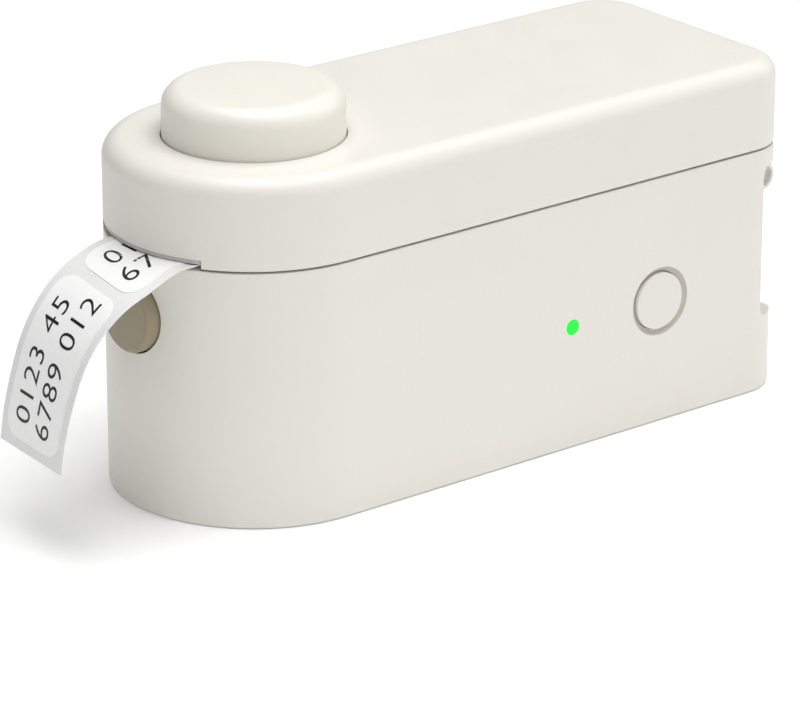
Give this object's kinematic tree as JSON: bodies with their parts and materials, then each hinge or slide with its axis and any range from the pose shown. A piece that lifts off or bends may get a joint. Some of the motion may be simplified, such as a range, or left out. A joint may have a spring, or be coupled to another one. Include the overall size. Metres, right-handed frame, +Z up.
{
  "type": "label maker",
  "caption": "Pocket thermal label printer: cream case with a rounded front, hinged lid, round cutter button, label roll and a printed strip leaving the front slot.",
  "frame": {"origin": "on the resting plane, under the middle of the body, on the foot pad's underside", "axes": "+X towards the hinge end, -X the round front with the tape slot, -Y the side with the status light and power button, +Z up"},
  "size_m": [0.1443, 0.05, 0.0683],
  "materials": {
    "cream_shell": "fine satin texture",
    "cream_button": "fine satin texture",
    "tan_plastic": "satin",
    "grey_plastic": "matte",
    "dark_plastic": "matte",
    "black_plastic": "satin",
    "nylon": "satin",
    "rubber": "matte",
    "steel": "brushed",
    "brass": "turned",
    "aluminium": "extruded",
    "label_paper": "smooth coated",
    "liner_paper": "glazed",
    "cardboard": "raw",
    "circuit_board": "solder mask",
    "battery_wrap": "shrink film",
    "ceramic_head": "polished",
    "flat_cable": "polyimide film",
    "green_light": "clear"
  },
  "bodies": {
    "base": {"lower_case": "cream_shell", "base_plate": "dark_plastic", "base_screw_1": "steel", "base_screw_2": "steel", "base_screw_3": "steel", "base_screw_4": "steel", "foot_pad": "rubber", "chassis": "grey_plastic", "bush_near": "brass", "bush_far": "brass", "idler_pin": "steel", "fixed_blade": "steel", "gap_sensor": "black_plastic", "stepper_motor": "steel", "tape_web": "liner_paper", "printed_strip": "liner_paper", "label_first": "label_paper", "label_second": "label_paper", "main_board": "circuit_board", "processor": "black_plastic", "status_led": "nylon", "light_pipe": "green_light", "tact_switch": "black_plastic", "power_ring": "grey_plastic", "usb_socket": "steel", "usb_board": "circuit_board", "lid_switch": "black_plastic", "battery": "battery_wrap", "hinge_pin": "steel", "release_spring": "steel"},
    "lid": {"lid_shell": "cream_shell", "lid_liner": "grey_plastic", "cutter_frame": "dark_plastic", "head_spring_near": "steel", "head_spring_far": "steel", "head_cable": "flat_cable", "cutter_spring": "steel"},
    "cutter": {"cutter_button": "cream_button", "cutter_stem": "dark_plastic", "blade_carrier": "dark_plastic", "cutting_blade": "steel"},
    "head": {"print_head": "ceramic_head", "heat_sink": "aluminium"},
    "release": {"release_button": "tan_plastic", "latch_yoke": "dark_plastic"},
    "power": {"power_button": "cream_shell"},
    "platen": {"platen_shaft": "steel", "platen_rubber": "rubber", "platen_gear": "nylon"},
    "idler": {"idler_gear": "nylon"},
    "rotor": {"motor_shaft": "steel", "motor_pinion": "brass"},
    "roll": {"label_roll": "label_paper", "roll_core": "cardboard", "roll_hub": "dark_plastic"}
  },
  "joints": [
    {"name": "lid_hinge", "type": "hinge", "parent": "base", "child": "lid", "pos_m": [0.0583, 0, 0.0376], "axis": [0, 1, 0], "range_deg": [0, 85]},
    {"name": "cutter_press", "type": "slide", "parent": "lid", "child": "cutter", "axis": [0, 0, -1], "range_m": [0, 0.004], "stiffness_N_per_m": 900, "springref_m": -0.003, "deforming": ["cutter_spring"]},
    {"name": "head_float", "type": "slide", "parent": "lid", "child": "head", "axis": [0, 0, 1], "range_m": [0, 0.0006], "stiffness_N_per_m": 2500, "springref_m": -0.0015, "deforming": ["head_spring_near", "head_spring_far"]},
    {"name": "release_press", "type": "slide", "parent": "base", "child": "release", "axis": [1, 0, 0], "range_m": [0, 0.002], "stiffness_N_per_m": 700, "springref_m": -0.002, "deforming": ["release_spring"]},
    {"name": "power_press", "type": "slide", "parent": "base", "child": "power", "axis": [0, 1, 0], "range_m": [0, 0.0007], "stiffness_N_per_m": 1500, "springref_m": -0.0006},
    {"name": "roll_spin", "type": "hinge", "parent": "base", "child": "roll", "pos_m": [0.002, 0, 0.0285], "axis": [0, -1, 0], "continuous": true},
    {"name": "platen_spin", "type": "hinge", "parent": "base", "child": "platen", "pos_m": [-0.046, 0, 0.0396], "axis": [0, -1, 0], "continuous": true},
    {"name": "idler_spin", "type": "hinge", "parent": "base", "child": "idler", "pos_m": [-0.03824, 0, 0.02967], "axis": [0, -1, 0], "continuous": true},
    {"name": "motor_spin", "type": "hinge", "parent": "base", "child": "rotor", "pos_m": [-0.03397, 0, 0.02008], "axis": [0, -1, 0], "continuous": true}
  ],
  "couplings": [
    {"joint": "platen_spin", "follows": "roll_spin", "ratio": 3.22},
    {"joint": "idler_spin", "follows": "roll_spin", "ratio": -2.576},
    {"joint": "motor_spin", "follows": "roll_spin", "ratio": 5.152}
  ]
}
